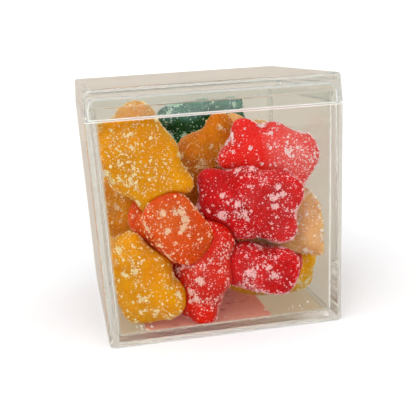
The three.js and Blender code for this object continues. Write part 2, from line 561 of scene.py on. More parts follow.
def new_piece(name: str, points: Array, faces: Sequence[Sequence[int]]) -> bpy.types.Object:
    """Makes an object at the origin from points in millimetres.

    Args:
        name: The piece's name.
        points: One row for each point.
        faces: The points of each face, counter-clockwise from outside.

    Returns:
        The object, linked to the scene.
    """
    mesh = bpy.data.meshes.new(name)
    mesh.from_pydata((points * MM).tolist(), [], faces)
    mesh.update()
    piece = bpy.data.objects.new(name, mesh)
    bpy.context.scene.collection.objects.link(piece)
    return piece


def paint(mesh: bpy.types.Mesh, name: str, levels: Array) -> None:
    """Stores a number on each point of a mesh."""
    attribute = mesh.attributes.new(name, "FLOAT", "POINT")
    attribute.data.foreach_set("value", levels.astype(np.float32))


def smooth_step(low: float, high: float, levels: Array) -> Array:
    """0 below low, 1 above high and smooth between."""
    share = np.clip((levels - low) / (high - low), 0.0, 1.0)
    return share * share * (3.0 - 2.0 * share)


def turbulence(points: Array, size_mm: float, shift: float) -> Array:
    """Smooth noise between about -1 and 1, its blots size_mm apart, another at each shift."""
    start = Vector((shift, -shift, 2.0 * shift))
    return np.array([noise.noise(Vector(point) / size_mm + start) for point in points])


def soft_ball(points: Array, centre: Sequence[float], reach: float) -> Array:
    """1 at a centre, fading out softly over about the reach."""
    away = points - np.array(centre)
    return np.exp(-np.einsum("ij,ij->i", away, away) / reach**2)


def smooth_max(a: Array, b: Array, sharpness: float) -> Array:
    """The larger of two fields, with the crease between them rounded."""
    return np.maximum(a, b) + np.log1p(np.exp(-sharpness * np.abs(a - b))) / sharpness


def report(piece: bpy.types.Object, slot: str, *nodes: str) -> None:
    """Attaches a finished piece to the body, hides the frame's nodes it stands for, and logs it.

    Args:
        piece: The piece, which rides on the one body.
        slot: The kind of surface it has. Not used.
        nodes: The frame's nodes that it stands for, if any.
    """
    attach(piece, BODY)
    if nodes:
        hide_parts(*nodes)
    LOG.info("%s: %d faces", piece.name, len(piece.data.polygons))


# ---- The favour box ----------------------------------------------------------------------


class BoxPart(IntEnum):
    """The parts of the box that differ in their plastic, numbered as its materials are.

    The parts from FLOOR on are flat.
    """

    EDGES = 0
    SEAM = 1
    FOOT = 2
    FLOOR = 3
    PANELS = 4
    LID = 5


# each part's tint, index of refraction, roughness and clearness
PLASTICS = {
    BoxPart.EDGES: ClearPlastic((0.85, 0.875, 0.83), 1.46, 0.04, 0.90),
    BoxPart.SEAM: ClearPlastic((0.87, 0.875, 0.85), 1.49, 0.15, 0.45),
    BoxPart.FOOT: ClearPlastic((0.80, 0.81, 0.76), 1.30, 0.20, 0.55),
    # the floor's warm tint is a painted reflection: it stands in for the amber and orange light the bears
    # throw on the floor
    BoxPart.FLOOR: ClearPlastic((0.93, 0.84, 0.68), 1.10, 0.14, 0.97),
    BoxPart.PANELS: ClearPlastic((0.93, 0.93, 0.905), 1.10, 0.0, 1.0),
    BoxPart.LID: ClearPlastic((0.90, 0.915, 0.89), 1.10, 0.0, 0.975),
}


@dataclass(frozen=True)
class Ring:
    """One rounded square that the box's wall runs through."""

    half: float
    radius: float
    z: float


@dataclass(frozen=True)
class FavourBox:
    """The clear box: a body that leans out a little, and a lid over its lip.

    A half is half a width, a round is how far the rounding of an edge reaches, and a corner
    is the radius that a ring has at its four corners.
    """

    height: float = 56.5
    seam_height: float = 49.9
    seam_gap: float = 0.2
    seam_half: float = 28.0
    base_half: float = 26.75
    lid_top_half: float = 27.75
    wall: float = 2.0
    floor_top: float = 1.8
    foot_recess: float = 0.5
    foot_width: float = 2.2
    ceiling: float = 54.5
    lip_thickness: float = 0.85
    lip_top: float = 52.4
    lip_clearance: float = 0.2
    lid_inner_top_half: float = 26.4
    edge_round: float = 0.7
    foot_round: float = 0.4
    small_round: float = 0.18
    lid_ledge_round: float = 0.1
    lip_joint_round: float = 0.02
    outer_corner: float = 1.2
    inner_corner: float = 0.8
    corner_steps: int = 8
    edge_steps: int = 4
    flat_face: float = 20.0
    floor_zone: float = 1.0

    def outer_half(self, z: Height) -> Height:
        """Half the body's outer width at a height, or at each of many."""
        return self.base_half + (self.seam_half - self.base_half) * z / self.seam_height

    def inner_half(self, z: Height) -> Height:
        """Half the body's inner width at a height, or at each of many."""
        return self.outer_half(z) - self.wall

    def rounded(self, before: Ring, edge: Ring, after: Ring, size: float) -> list[Ring]:
        """Rounds one edge of the wall's section.

        Args:
            before: The ring before the edge.
            edge: The ring at the sharp edge.
            after: The ring after the edge.
            size: How far the rounding starts from the edge.

        Returns:
            The rings that take the edge's place.
        """
        middle = np.array([edge.half, edge.z])
        ends = []
        for other in (before, after):
            way = np.array([other.half, other.z]) - middle
            ends.append(middle + way * (size / np.linalg.norm(way)))
        rings = []
        for step in range(self.edge_steps + 1):
            t = step / self.edge_steps
            half, z = (1 - t) ** 2 * ends[0] + 2 * t * (1 - t) * middle + t**2 * ends[1]
            rings.append(Ring(float(half), edge.radius, float(z)))
        return rings

    def section(self, rings: Sequence[Ring], sizes: Mapping[int, float]) -> list[Ring]:
        """Rounds every edge of the wall's section.

        Args:
            rings: The section's edges in order.
            sizes: The round of each numbered edge. The others get the small one.

        Returns:
            The section's rings.
        """
        walk = [rings[0]]
        for i in range(1, len(rings) - 1):
            walk += self.rounded(rings[i - 1], rings[i], rings[i + 1], sizes.get(i, self.small_round))
        return walk + [rings[-1]]

    def square(self, ring: Ring) -> list[Triple]:
        """Draws one ring.

        Args:
            ring: The ring's half width, corner radius and height.

        Returns:
            Its points, counter-clockwise from above.
        """
        points = []
        for corner in range(4):
            middle = (corner + 0.5) * math.pi / 2
            corner_x = math.copysign(ring.half - ring.radius, math.cos(middle))
            corner_y = math.copysign(ring.half - ring.radius, math.sin(middle))
            for step in range(self.corner_steps + 1):
                angle = (corner + step / self.corner_steps) * math.pi / 2
                x = corner_x + ring.radius * math.cos(angle)
                y = corner_y + ring.radius * math.sin(angle)
                points.append((x, y, ring.z))
        return points

    def shell(self, name: str, rings: Sequence[Ring]) -> bpy.types.Object:
        """Makes a closed shell whose wall runs through rings, capped at both ends.

        Args:
            name: The piece's name.
            rings: The wall's section in order.

        Returns:
            The shell, each face marked with its part of the box.
        """
        sides = 4 * (self.corner_steps + 1)
        points = np.array([point for ring in rings for point in self.square(ring)])
        faces: list[Sequence[int]] = [range(sides - 1, -1, -1)]
        for start in range(0, (len(rings) - 1) * sides, sides):
            for side in range(sides):
                a, b = start + side, start + (side + 1) % sides
                faces.append((a, b, b + sides, a + sides))
        last = (len(rings) - 1) * sides
        faces.append(range(last, last + sides))
        piece = new_piece(name, points, faces)
        for face in piece.data.polygons:
            part = self.part_of(face)
            face.use_smooth = part < BoxPart.FLOOR
            face.material_index = part
        return piece

    def part_of(self, face: bpy.types.MeshPolygon) -> BoxPart:
        """Tells which part of the box a face belongs to.

        Args:
            face: A face of the body or the lid.

        Returns:
            The part, by the face's height and area.
        """
        z = face.center.z / MM
        if abs(z - self.seam_height) < 2 * self.seam_gap:
            return BoxPart.SEAM
        if z < self.foot_recess / 2:
            return BoxPart.FOOT
        if face.area < self.flat_face * MM * MM:
            return BoxPart.EDGES
        if z > self.seam_height:
            return BoxPart.LID
        return BoxPart.FLOOR if z < self.floor_top + self.floor_zone else BoxPart.PANELS

    def body(self) -> bpy.types.Object:
        """Makes the body.

        Returns:
            A foot rim, leaning walls, a shoulder and the lip that the lid sits over.
        """
        shoulder = self.seam_height - self.seam_gap / 2
        foot = self.base_half - self.foot_width
        mouth = self.seam_half - self.wall
        lip = mouth + self.lip_thickness
        floor_half = self.inner_half(self.floor_top)
        outer, inner = self.outer_corner, self.inner_corner
        rings = [
            Ring(foot, inner, self.foot_recess),
            Ring(foot, inner, 0.0),
            Ring(self.outer_half(0.0), outer, 0.0),
            Ring(self.outer_half(shoulder), outer, shoulder),
            Ring(lip, outer, shoulder),
            Ring(lip, outer, self.lip_top),
            Ring(mouth, inner, self.lip_top),
            Ring(mouth, inner, shoulder),
            Ring(floor_half, inner, self.floor_top),
            Ring(floor_half - inner, inner / 4, self.floor_top),
        ]
        rounds = {2: self.foot_round, 7: self.lip_joint_round, 8: self.edge_round}
        return self.shell("clear_body", self.section(rings, rounds))

    def lid(self) -> bpy.types.Object:
        """Makes the lid.

        Returns:
            A flat top with rounded rims and a short skirt over the lip.
        """
        rim = self.seam_height + self.seam_gap / 2
        skirt = self.seam_half - self.wall + self.lip_thickness + self.lip_clearance
        outer, inner = self.outer_corner, self.inner_corner
        rings = [
            Ring(self.lid_inner_top_half - 2 * self.edge_round, inner / 4, self.ceiling),
            Ring(self.lid_inner_top_half, inner, self.ceiling),
            Ring(skirt, inner, self.lip_top + self.lip_clearance),
            Ring(skirt, inner, rim),
            Ring(self.seam_half, outer, rim),
            Ring(self.lid_top_half, outer, self.height),
            Ring(self.lid_top_half - 2 * self.edge_round, outer / 2, self.height),
        ]
        rounds = {1: self.edge_round, 2: self.lid_ledge_round, 5: self.edge_round}
        return self.shell("clear_lid", self.section(rings, rounds))

    def build(self) -> None:
        """Makes the box and lid and dresses them and the label."""
        plastics = [PLASTICS[part].material(f"clear_{part.name.lower()}") for part in BoxPart]
        for piece, node in ((self.body(), "box_body"), (self.lid(), "lid")):
            for plastic in plastics:
                piece.data.materials.append(plastic)
            report(piece, "clear_plastic", node)
        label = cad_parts["base_label"]
        label.material_slots[0].material = LabelPaper().material("label_paper")


# ---- Gummy bears -------------------------------------------------------------------------


@dataclass(frozen=True)
class BearForm:
    """One gummy bear as a soft union of ellipsoids, each its centre and radii.

    It stands along Z, its belly faces -Y, and its back is cut flat as the mould leaves it.
    """

    torso: Lobe = ((0.0, 0.6, -2.6), (6.6, 4.8, 6.9))
    tummy: Lobe = ((0.0, -1.8, -3.0), (4.8, 3.8, 4.4))
    head: Lobe = ((0.0, 0.2, 5.9), (5.5, 4.5, 4.5))
    muzzle: Lobe = ((0.0, -3.5, 5.2), (2.6, 1.9, 2.0))
    ear: Lobe = ((3.9, 0.2, 9.2), (2.2, 2.1, 2.1))
    shoulder: Lobe = ((5.0, -0.4, 1.5), (2.7, 3.4, 3.0))
    paw: Lobe = ((3.9, -3.7, 0.6), (2.4, 2.0, 2.1))
    thigh: Lobe = ((4.1, -0.6, -6.7), (3.3, 3.9, 3.5))
    foot: Lobe = ((3.9, -3.7, -7.3), (2.7, 2.2, 2.8))
    back_plane: float = 4.3
    lobe_blend: float = 1.0
    back_blend: float = 1.4
    unevenness: float = 0.07
    uneven_by_bear: float = 2.4
    uneven_by_lobe: float = 1.7
    spine_half: float = 6.5
    middle: Triple = (0.0, -0.8, -0.8)
    reach: Triple = (6.2, 5.2, 11.2)

    def lobes(self) -> list[Lobe]:
        """Puts the bear's lobes together.

        Returns:
            Every ellipsoid: the middle ones, then each side's limbs.
        """
        limbs = (self.ear, self.shoulder, self.paw, self.thigh, self.foot)
        found = [self.torso, self.tummy, self.head, self.muzzle]
        for side in (-1, 1):
            found += [((side * x, y, z), radii) for (x, y, z), radii in limbs]
        return found


@dataclass(frozen=True)
class Place:
    """Where one bear lies.

    turn is roll, pitch and face in degrees: face turns a bear about its own length, pitch
    tips its head towards the front, and roll tips it clockwise as seen from the front.
    """

    flavour: Flavour
    at: Triple
    turn: Triple
    size: float


PILE = (
    # against the front wall, top to bottom
    Place(Flavour.YELLOW, (-16.3, -21.0, 40.4), (148, 0, 184), 1.06),
    Place(Flavour.ORANGE, (-11.0, -16.6, 24.2), (-124, -66, 0), 1.12),
    Place(Flavour.YELLOW, (-18.8, -18.6, 12.2), (-26, 0, 140), 1.06),
    Place(Flavour.SCARLET, (-5.0, -17.2, 13.0), (184, 4, -108), 1.12),
    Place(Flavour.CRIMSON, (7.8, -16.0, 11.2), (-78, -24, 100), 1.1),
    Place(Flavour.CRIMSON, (7.8, -19.0, 28.2), (-80, -8, -8), 1.06),
    Place(Flavour.ROSE, (14.0, -15.8, 37.4), (-64, 6, 165), 1.02),
    # seen behind them through the front
    Place(Flavour.GREEN, (4.0, 13.0, 42.4), (77, 0, 175), 1.04),
    Place(Flavour.AMBER, (1.2, -7.0, 35.2), (38, 10, 190), 1.12),
    Place(Flavour.AMBER, (-18.2, -11.2, 28.2), (10, 10, 150), 1.04),
    Place(Flavour.PEACH, (18.6, -12.2, 21.6), (104, 34, 165), 1.06),
    Place(Flavour.GOLDEN, (16.4, -6.4, 7.4), (80, 25, 40), 1.04),
    Place(Flavour.PEACH, (15.4, 1.5, 35.9), (-55, 5, 30), 1.02),
    Place(Flavour.AMBER, (-11.0, -6.0, 10.5), (-50, 10, 20), 1.0),
    # the back of the pile
    Place(Flavour.SCARLET, (-16.0, 9.5, 7.4), (10, 88, 0), 1.04),
    Place(Flavour.GREEN, (-3.4, 14.5, 9.4), (10, -72, 80), 1.04),
    Place(Flavour.YELLOW, (11.5, 16.0, 8.0), (95, 10, 170), 1.06),
    Place(Flavour.ORANGE, (19.6, 8.5, 20.0), (0, 10, -80), 1.02),
    Place(Flavour.YELLOW, (-17.0, 14.0, 20.8), (-10, -50, 40), 1.04),
    Place(Flavour.CRIMSON, (-3.5, 5.0, 22.5), (70, 20, 0), 1.06),
    Place(Flavour.PEACH, (5.0, 18.5, 22.5), (-80, 5, 185), 1.06),
    Place(Flavour.SCARLET, (16.5, 18.0, 31.5), (-30, 0, 150), 1.04),
    Place(Flavour.ORANGE, (-14.5, 8.5, 39.0), (15, -65, 30), 1.02),
    Place(Flavour.AMBER, (-6.0, 19.0, 34.8), (62, 0, 180), 1.02),
    Place(Flavour.GOLDEN, (4.5, 9.0, 31.5), (100, -20, 60), 1.0),
)


@dataclass(frozen=True)
class BloomAndPaintedVeilSpot:
    """A frosted spot on one bear, or a clear one where its change is below zero. Most frost is
    bloom; bear 8's spots high up are a painted reflection, the pale veil of the lid.

    The bears are counted from 1, as their nodes are.
    """

    bear: int
    at: Triple
    reach: float
    change: float

    def level(self, points: Array) -> Array:
        """What the spot adds at each point."""
        return self.change * soft_ball(points, self.at, self.reach)


BLOOM_AND_PAINTED_VEIL_SPOTS = (
    BloomAndPaintedVeilSpot(1, (-14.0, -25.0, 38.0), 9.0, -1.0),
    BloomAndPaintedVeilSpot(2, (-12.0, -23.0, 27.0), 5.0, 1.1),
    BloomAndPaintedVeilSpot(4, (-4.0, -23.0, 16.0), 6.0, 0.6),
    BloomAndPaintedVeilSpot(5, (4.0, -22.0, 14.0), 6.0, 0.4),
    BloomAndPaintedVeilSpot(6, (14.0, -24.0, 30.0), 7.0, 0.5),
    BloomAndPaintedVeilSpot(6, (-1.0, -24.0, 30.0), 5.0, -1.0),
    BloomAndPaintedVeilSpot(7, (17.0, -22.0, 38.0), 8.0, 1.0),
    BloomAndPaintedVeilSpot(7, (6.0, -21.0, 40.0), 6.0, -2.0),
    # bear 8's top band, seen through the lid: painted reflection, the lid's pale veil laid on as teal
    # frost
    BloomAndPaintedVeilSpot(8, (-5.0, 8.0, 49.0), 4.5, 1.2),
    BloomAndPaintedVeilSpot(8, (3.0, 8.0, 49.5), 4.5, 1.2),
    BloomAndPaintedVeilSpot(8, (12.0, 8.0, 50.5), 4.5, 1.2),
    BloomAndPaintedVeilSpot(8, (2.0, 3.0, 41.0), 8.0, -1.2),
    BloomAndPaintedVeilSpot(10, (-22.0, -16.0, 28.0), 9.0, 0.5),
    BloomAndPaintedVeilSpot(11, (22.0, -18.0, 24.0), 8.0, 0.6),
)


class Bear:
    """One bear of the pile, as a field that is negative inside it."""

    def __init__(self, number: int, place: Place, form: BearForm) -> None:
        """Sets a bear down.

        Args:
            number: Its place in the pile, from 0.
            place: Where it lies.
            form: The shape it was moulded in.
        """
        roll, pitch, face = (
            Matrix.Rotation(math.radians(angle), 3, axis) for angle, axis in zip(place.turn, "YXZ")
        )
        self.number = number
        self.flavour = place.flavour
        self.node = f"bear_{number + 1:02d}_{place.flavour.value}"
        self.form = form
        self.size = place.size
        self.at = np.array(place.at)
        self.turned = np.array(roll @ pitch @ face)
        lobes = form.lobes()
        waves = [form.uneven_by_bear * number + form.uneven_by_lobe * k for k in range(len(lobes))]
        swell = [1 + form.unevenness * math.sin(wave) for wave in waves]
        self.centres = np.array([centre for centre, _ in lobes])
        self.radii = np.array([radii for _, radii in lobes]) * np.array(swell)[:, None]

    def field(self, points: Array) -> Array:
        """Measures the free bear, before anything presses on it.

        Args:
            points: One row for each point.

        Returns:
            Roughly each point's distance from the skin in millimetres, negative inside.
        """
        local = (points - self.at) @ self.turned / self.size
        total = np.zeros(len(points))
        for centre, radii in zip(self.centres, self.radii):
            offset = (local - centre) / radii
            span = np.sqrt(np.einsum("ij,ij->i", offset, offset))
            total += np.exp(-self.form.lobe_blend * (span - 1.0) * radii.min())
        skin = -np.log(np.maximum(total, NEXT_TO_NOTHING)) / self.form.lobe_blend
        return smooth_max(skin, local[:, 1] - self.form.back_plane, self.form.back_blend) * self.size

    def rays(self, aims: Array) -> tuple[Array, Array]:
        """Aims a ray at the skin from the bear's spine for each point of a ball.

        Args:
            aims: Points of a ball of radius 1.

        Returns:
            The rays' starts and their directions.
        """
        start = np.array(self.form.middle) + np.outer(aims[:, 2], (0.0, 0.0, self.form.spine_half))
        end = np.array(self.form.middle) + aims * np.array(self.form.reach)
        way = end - start
        way /= np.linalg.norm(way, axis=1)[:, None]
        return self.at + self.size * start @ self.turned.T, way @ self.turned.T


@dataclass(frozen=True)
class Patches:
    """Uneven patches on the bears: their size, where they fade in and how they shift by bear."""

    size_mm: float
    low: float
    high: float
    shift_by_bear: float
    shift: float = 0.0

    def level(self, bear: Bear, points: Array) -> Array:
        """How far inside a patch each point of a bear is, from 0 to 1."""
        shift = self.shift_by_bear * bear.number + self.shift
        return smooth_step(self.low, self.high, turbulence(points, self.size_mm, shift))


@dataclass(frozen=True)
class Dusting:
    """How sugar and its bloom lie over a bear, each as an amount from 0 to 1 at every point.

    Sugar lies thinly all over, thicker in patches of specks, in a crust round the flats that
    the walls press, and thickest in clumps. There is none where a neighbour touches.
    """

    patches: Patches = Patches(4.2, -0.15, 0.5, 3.1, 5.0)
    specks: Patches = Patches(1.6, -0.05, 0.45, 1.3)
    thin_sugar: float = 0.06
    patch_sugar: float = 0.5
    off_specks: float = 0.15
    on_specks: float = 0.85
    crust_sugar: float = 0.22
    crust_from: tuple[float, float] = (0.05, 0.4)
    crust_until: tuple[float, float] = (0.6, 1.6)
    touch_fade: tuple[float, float] = (-0.45, -0.1)
    bloom_patches: Patches = Patches(6.0, 0.0, 0.6, 2.3, 9.0)
    bloom_depth: float = 0.5
    bloom_sugar: float = 0.2
    clump_seed: int = 300
    clump_count: int = 60
    clump_reach: tuple[float, float] = (0.3, 1.3)
    clump_rarity: int = 2
    clump_height: float = 1.3
    clump_level: float = 0.85
    clump_raggedness: float = 0.6
    clump_grain_mm: float = 0.9
    clump_shift_by_bear: float = 0.7

    def bloom(self, bear: Bear, points: Array) -> Array:
        """Frosts a bear in soft patches and in its own spots; bear 8's top spots are painted veil.

        Args:
            bear: The bear.
            points: The points of its skin.

        Returns:
            How frosted the gel looks at each point.
        """
        level = self.bloom_depth * self.bloom_patches.level(bear, points)
        for spot in BLOOM_AND_PAINTED_VEIL_SPOTS:
            if spot.bear == bear.number + 1:
                level = level + spot.level(points)
        return np.clip(level, 0.0, 1.0)

    def clumps(self, bear: Bear, points: Array) -> Array:
        """Cakes sugar into clumps at random places: many small ones and a few large.

        Args:
            bear: The bear.
            points: The points of its skin.

        Returns:
            About 1 in a clump and 0 well away from one, with ragged rims.
        """
        luck = np.random.default_rng(self.clump_seed + bear.number)
        centres = points[luck.integers(len(points), size=self.clump_count)]
        low, high = self.clump_reach
        reaches = low + (high - low) * luck.random(self.clump_count) ** self.clump_rarity
        caked = np.zeros(len(points))
        for centre, reach in zip(centres, reaches):
            caked = np.maximum(caked, self.clump_height * soft_ball(points, centre, reach))
        ragged = turbulence(points, self.clump_grain_mm, self.clump_shift_by_bear * bear.number)
        return caked * (self.clump_level + self.clump_raggedness * ragged)

    def sugar(self, bear: Bear, points: Array, touch: Array, off_wall: Array) -> Array:
        """Sugars a bear.

        Args:
            bear: The bear.
            points: The points of its skin.
            touch: How far each point is past the middle between it and its neighbours.
            off_wall: How far each point is from the nearest wall.

        Returns:
            How thickly sugar lies at each point.
        """
        patches, specks = self.patches.level(bear, points), self.specks.level(bear, points)
        crust = smooth_step(*self.crust_from, off_wall) * (1 - smooth_step(*self.crust_until, off_wall))
        amount = self.thin_sugar + self.patch_sugar * patches * (self.off_specks + self.on_specks * specks)
        amount = amount + self.crust_sugar * crust + self.bloom_sugar * self.bloom(bear, points)
        amount = np.maximum(amount, self.clumps(bear, points))
        return np.clip(amount * (1 - smooth_step(*self.touch_fade, touch)), 0.0, 1.0)


@dataclass
class SphereNet:
    """A ball of triangles whose points are the aims of a bear's rays."""

    coarse: int = 4
    finer: int = 2
    aims: Array = field(init=False)
    faces: Array = field(init=False)

    def __post_init__(self) -> None:
        """Makes the coarse ball."""
        ball = bmesh.new()
        bmesh.ops.create_icosphere(ball, subdivisions=self.coarse, radius=1.0)
        self.aims = np.array([vert.co for vert in ball.verts])
        self.faces = np.array([[vert.index for vert in face.verts] for face in ball.faces])
        ball.free()

    def levels(self) -> Iterable[tuple[Array, Array, Array]]:
        """Splits every triangle in four, level after level.

        Yields:
            For each level its aims, its faces and the pair of older points that each new
            point lies between.
        """
        aims, faces = self.aims, self.faces
        for _ in range(self.finer):
            sides = np.sort(faces[:, [[0, 1], [1, 2], [2, 0]]].reshape(-1, 2), axis=1)
            pairs, where = np.unique(sides, axis=0, return_inverse=True)
            middles = aims[pairs].mean(axis=1)
            middles /= np.linalg.norm(middles, axis=1)[:, None]
            ab, bc, ca = (where.reshape(-1, 3) + len(aims)).T
            a, b, c = faces.T
            corners = ((a, ab, ca), (b, bc, ab), (c, ca, bc), (ab, bc, ca))
            faces = np.concatenate([np.stack(corner, axis=1) for corner in corners])
            aims = np.concatenate([aims, middles])
            yield aims, faces, pairs


@dataclass
class Pile:
    """The bears in the box, each pressed against its neighbours and the walls.

    Each of the lumps is a size and a depth that the skin gets over its whole face.
    """

    box: FavourBox
    form: BearForm = field(default_factory=BearForm)
    net: SphereNet = field(default_factory=SphereNet)
    dusting: Dusting = field(default_factory=Dusting)
    touch_gap: float = 0.04
    wall_gap: float = 0.2
    press_sharpness: float = 8.0
    neighbour_reach: float = 26.0
    ray_step: float = 0.5
    ray_length: float = 16.0
    bisections: int = 10
    refinements: int = 4
    largest_fix: float = 0.5
    smallest_fix: float = 1e-6
    slopes: tuple[float, float] = (0.35, 2.0)
    lumps: tuple[tuple[float, float], ...] = ((3.2, 0.16), (1.3, 0.09))
    lump_shift_by_bear: float = 1.7
    wall_room: float = 0.03
    bears: list[Bear] = field(init=False)

    def __post_init__(self) -> None:
        """Sets every bear down."""
        self.bears = [Bear(number, place, self.form) for number, place in enumerate(PILE)]

    def neighbours(self, bear: Bear) -> list[Bear]:
        """The bears near enough to press on this one."""
        others = [other for other in self.bears if other is not bear]
        return [other for other in others if np.linalg.norm(other.at - bear.at) < self.neighbour_reach]

    def walls(self, points: Array, gap: float) -> Array:
        """Measures the room to the box.

        Args:
            points: One row for each point.
            gap: How far from the walls and the floor the bears stay.

        Returns:
            How far each point is past that gap, negative where there is room.
        """
        x, y, z = points.T
        half = self.box.inner_half(z) - gap
        return np.max([np.abs(x) - half, np.abs(y) - half, self.box.floor_top + gap - z], axis=0)

    def touch(self, bear: Bear, points: Array, own: Array) -> Array:
        """Measures the room to the neighbours.

        Args:
            bear: The bear.
            points: One row for each point.
            own: The free bear's field at the points.

        Returns:
            How far each point is past the middle between the bear and its neighbours.
        """
        presses = [(own - other.field(points) + self.touch_gap) / 2 for other in self.neighbours(bear)]
        pressed = presses[0]
        for press in presses[1:]:
            pressed = smooth_max(pressed, press, self.press_sharpness)
        return pressed

    def pressed(self, bear: Bear, points: Array) -> Array:
        """Presses the walls and the neighbours into a bear.

        Args:
            bear: The bear.
            points: One row for each point.

        Returns:
            The pressed bear's field at the points, negative inside.
        """
        own = bear.field(points)
        total = smooth_max(own, self.touch(bear, points, own), self.press_sharpness)
        return smooth_max(total, self.walls(points, self.wall_gap), self.press_sharpness)

    def first_reach(self, bear: Bear, aims: Array) -> Array:
        """Finds the skin by marching along each ray and then halving the last step.

        Args:
            bear: The bear.
            aims: The rays' aims on a ball.

        Returns:
            How far along each ray the pressed bear ends.
        """
        start, way = bear.rays(aims)
        low = np.zeros(len(aims))
        live = np.arange(len(aims))
        while len(live):
            ahead = low[live] + self.ray_step
            inside = self.pressed(bear, start[live] + way[live] * ahead[:, None]) <= 0
            inside &= ahead < self.ray_length
            live = live[inside]
            low[live] += self.ray_step
        high = low + self.ray_step
        for _ in range(self.bisections):
            middle = (low + high) / 2
            outside = self.pressed(bear, start + way * middle[:, None]) > 0
            low, high = np.where(outside, low, middle), np.where(outside, middle, high)
        return low

    def refined(self, bear: Bear, aims: Array, reach: Array) -> Array:
        """Moves points along their rays on to the skin.

        Args:
            bear: The bear.
            aims: The rays' aims on a ball.
            reach: A close first guess of how far along each ray the skin is.

        Returns:
            How far along each ray it is.
        """
        start, way = bear.rays(aims)
        slope = np.ones(len(aims))
        last = self.pressed(bear, start + way * reach[:, None])
        for _ in range(self.refinements):
            move = np.clip(-last / slope, -self.largest_fix, self.largest_fix)
            reach = np.maximum(reach + move, 0.0)
            now = self.pressed(bear, start + way * reach[:, None])
            rise = (now - last) / np.where(move == 0, 1.0, move)
            slope = np.clip(np.where(np.abs(move) > self.smallest_fix, rise, slope), *self.slopes)
            last = now
        return reach

    def skin(self, bear: Bear) -> tuple[Array, Array]:
        """Makes one bear's skin, first coarsely and then ever finer.

        Args:
            bear: The bear.

        Returns:
            The skin's points and faces.
        """
        aims, faces = self.net.aims, self.net.faces
        reach = self.first_reach(bear, aims)
        for aims, faces, pairs in self.net.levels():
            middle = reach[pairs].mean(axis=1)
            known = len(reach)
            fixed = self.refined(bear, aims[known:], middle)
            reach = np.concatenate([reach, fixed])
        start, way = bear.rays(aims)
        return start + way * reach[:, None], faces

    def lumpy(self, points: Array, faces: Array, number: int) -> Array:
        """Raises and sinks a skin a little, as sugar and drying leave it.

        Args:
            points: The skin's points.
            faces: Its faces.
            number: The bear's number.

        Returns:
            The moved points.
        """
        corners = points[faces]
        across = np.cross(corners[:, 1] - corners[:, 0], corners[:, 2] - corners[:, 0])
        normals = np.zeros_like(points)
        for corner in range(3):
            np.add.at(normals, faces[:, corner], across)
        normals /= np.linalg.norm(normals, axis=1)[:, None]
        shift = self.lump_shift_by_bear * number
        for size, depth in self.lumps:
            points = points + normals * (turbulence(points, size, shift) * depth)[:, None]
        return self.inside(points)

    def inside(self, points: Array) -> Array:
        """Keeps points just inside the box.

        Args:
            points: One row for each point.

        Returns:
            The points, those past a wall, the floor or the ceiling moved back inside.
        """
        x, y, z = points.T
        half = self.box.inner_half(z) - self.wall_room
        low, high = self.box.floor_top + self.wall_room, self.box.ceiling - self.wall_room
        return np.stack([np.clip(x, -half, half), np.clip(y, -half, half), np.clip(z, low, high)], axis=1)

    def build(self) -> dict[Flavour, list[bpy.types.Object]]:
        """Makes every bear.

        Returns:
            The bears of each flavour.
        """
        gels = {flavour: GELS[flavour].material(f"gel_{flavour.value}") for flavour in Flavour}
        made: dict[Flavour, list[bpy.types.Object]] = {flavour: [] for flavour in Flavour}
        for bear in self.bears:
            points, faces = self.skin(bear)
            points = self.lumpy(points, faces, bear.number)
            piece = new_piece(bear.node.replace("bear", "gummy"), points, faces.tolist())
            piece.data.shade_smooth()
            touch = self.touch(bear, points, bear.field(points))
            off_wall = -self.walls(points, self.wall_gap)
            paint(piece.data, "sugar", self.dusting.sugar(bear, points, touch, off_wall))
            # the bloom painted here holds bear 8's painted veil as well
            paint(piece.data, "bloom", self.dusting.bloom(bear, points))
            piece.data.materials.append(gels[bear.flavour])
            report(piece, f"gummy_{bear.flavour.value}", bear.node)
            made[bear.flavour].append(piece)
        return made


# ---- Sugar -------------------------------------------------------------------------------


@dataclass(frozen=True)
class Grains:
    """One size of sugar grain: how many lie where sugar is thickest, and how they keep to it."""

    size_mm: float
    per_square_mm: float
    patchiness: float
    seed: int


class Draw(IntEnum):
    """What luck decides for each grain, every one with random numbers of its own."""

    KIND = 1
    TURN = 2
    SIZE = 3
    SIDES = 4


